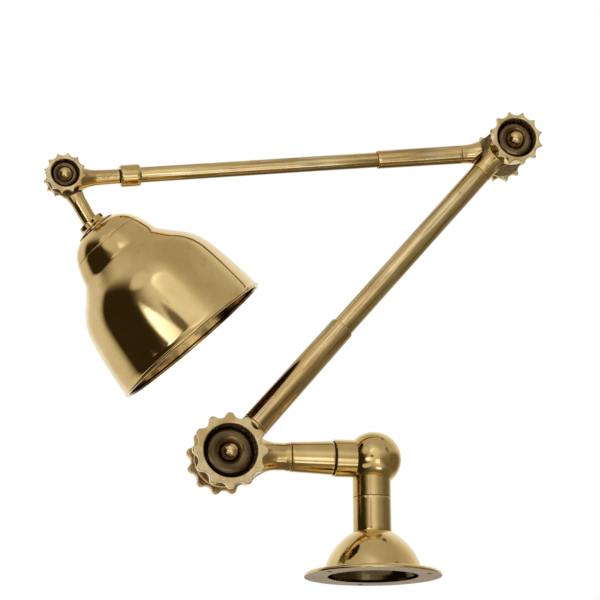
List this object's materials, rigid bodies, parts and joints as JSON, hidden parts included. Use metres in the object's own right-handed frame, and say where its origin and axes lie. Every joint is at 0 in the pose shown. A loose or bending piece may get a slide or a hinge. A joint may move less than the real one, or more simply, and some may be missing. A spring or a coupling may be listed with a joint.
{
  "type": "swing arm wall light",
  "caption": "Polished brass wall light: domed rose and ball elbow, jointed swing arm with toothed knuckles, and a bell-shaped shade.",
  "frame": {"origin": "centre of the rose's mounting face", "axes": "+Z out of the wall along the post, +X to the right with the arms in the XZ plane, +Y away from the knuckles' open side"},
  "size_m": [0.4558, 0.1546, 0.4272],
  "materials": {
    "polished_brass": "polished",
    "cast_brass": "satin cast",
    "dark_brass": "dark patina",
    "bolt_brass": "worn polish",
    "plain_brass": "machined",
    "friction_fibre": "matte",
    "seal_rubber": "matte",
    "holder_insulator": "glazed"
  },
  "bodies": {
    "base": {"wall_rose": "polished_brass", "post": "polished_brass"},
    "elbow": {"ball_elbow": "polished_brass", "swivel_nipple": "plain_brass", "swivel_washer": "plain_brass", "swivel_locknut": "plain_brass", "twist_nipple": "plain_brass", "twist_washer": "plain_brass", "twist_locknut": "plain_brass", "twist_seal": "seal_rubber"},
    "short_arm": {"short_arm_sleeve": "polished_brass", "knuckle_1_front": "cast_brass", "knuckle_1_bolt": "bolt_brass", "knuckle_1_nut": "bolt_brass", "knuckle_1_front_washer": "dark_brass", "knuckle_1_friction_disc": "friction_fibre"},
    "lower_arm": {"knuckle_1_back": "cast_brass", "knuckle_1_back_washer": "dark_brass", "lower_arm_sleeve": "polished_brass", "lower_arm_tube": "polished_brass", "knuckle_2_front": "cast_brass", "knuckle_2_bolt": "bolt_brass", "knuckle_2_nut": "bolt_brass", "knuckle_2_front_washer": "dark_brass", "knuckle_2_friction_disc": "friction_fibre"},
    "upper_arm": {"knuckle_2_back": "cast_brass", "knuckle_2_back_washer": "dark_brass", "upper_arm_sleeve": "polished_brass", "upper_arm_tube": "polished_brass", "tip_ferrule": "polished_brass"},
    "shade_knuckle": {"knuckle_3_front": "cast_brass", "knuckle_3_bolt": "bolt_brass", "knuckle_3_nut": "bolt_brass", "knuckle_3_front_washer": "dark_brass", "knuckle_3_friction_disc": "friction_fibre", "tip_nipple": "plain_brass", "tip_washer": "plain_brass", "tip_locknut": "plain_brass", "tip_seal": "seal_rubber"},
    "shade": {"knuckle_3_back": "cast_brass", "knuckle_3_back_washer": "dark_brass", "shade_collar": "polished_brass", "shade_cap": "polished_brass", "shade_bell": "polished_brass", "lampholder_nipple": "plain_brass", "lampholder_locknut": "plain_brass", "lampholder_cap": "plain_brass", "lampholder_skirt": "plain_brass", "lampholder_insulator": "holder_insulator", "lampholder_plungers": "plain_brass", "lampholder_ring": "plain_brass"}
  },
  "joints": [
    {"name": "base_swivel", "type": "hinge", "parent": "base", "child": "elbow", "pos_m": [0, 0, 0], "axis": [0, 0, 1], "range_deg": [-170, 170]},
    {"name": "arm_twist", "type": "hinge", "parent": "elbow", "child": "short_arm", "pos_m": [0, 0, 0.105], "axis": [1, 0, 0], "range_deg": [-90, 90]},
    {"name": "knuckle_1", "type": "hinge", "parent": "short_arm", "child": "lower_arm", "pos_m": [-0.1315, 0, 0.105], "axis": [0, 1, 0], "range_deg": [-80, 2]},
    {"name": "knuckle_2", "type": "hinge", "parent": "lower_arm", "child": "upper_arm", "pos_m": [0.1346, 0, 0.40274], "axis": [0, 1, 0], "range_deg": [-3, 150]},
    {"name": "tip_twist", "type": "hinge", "parent": "upper_arm", "child": "shade_knuckle", "pos_m": [-0.27772, 0, 0.35048], "axis": [-0.9932, 0, -0.1167], "range_deg": [-170, 170]},
    {"name": "knuckle_3", "type": "hinge", "parent": "shade_knuckle", "child": "shade", "pos_m": [-0.27806, 0, 0.35336], "axis": [0, 1, 0], "range_deg": [-6, 100]}
  ]
}
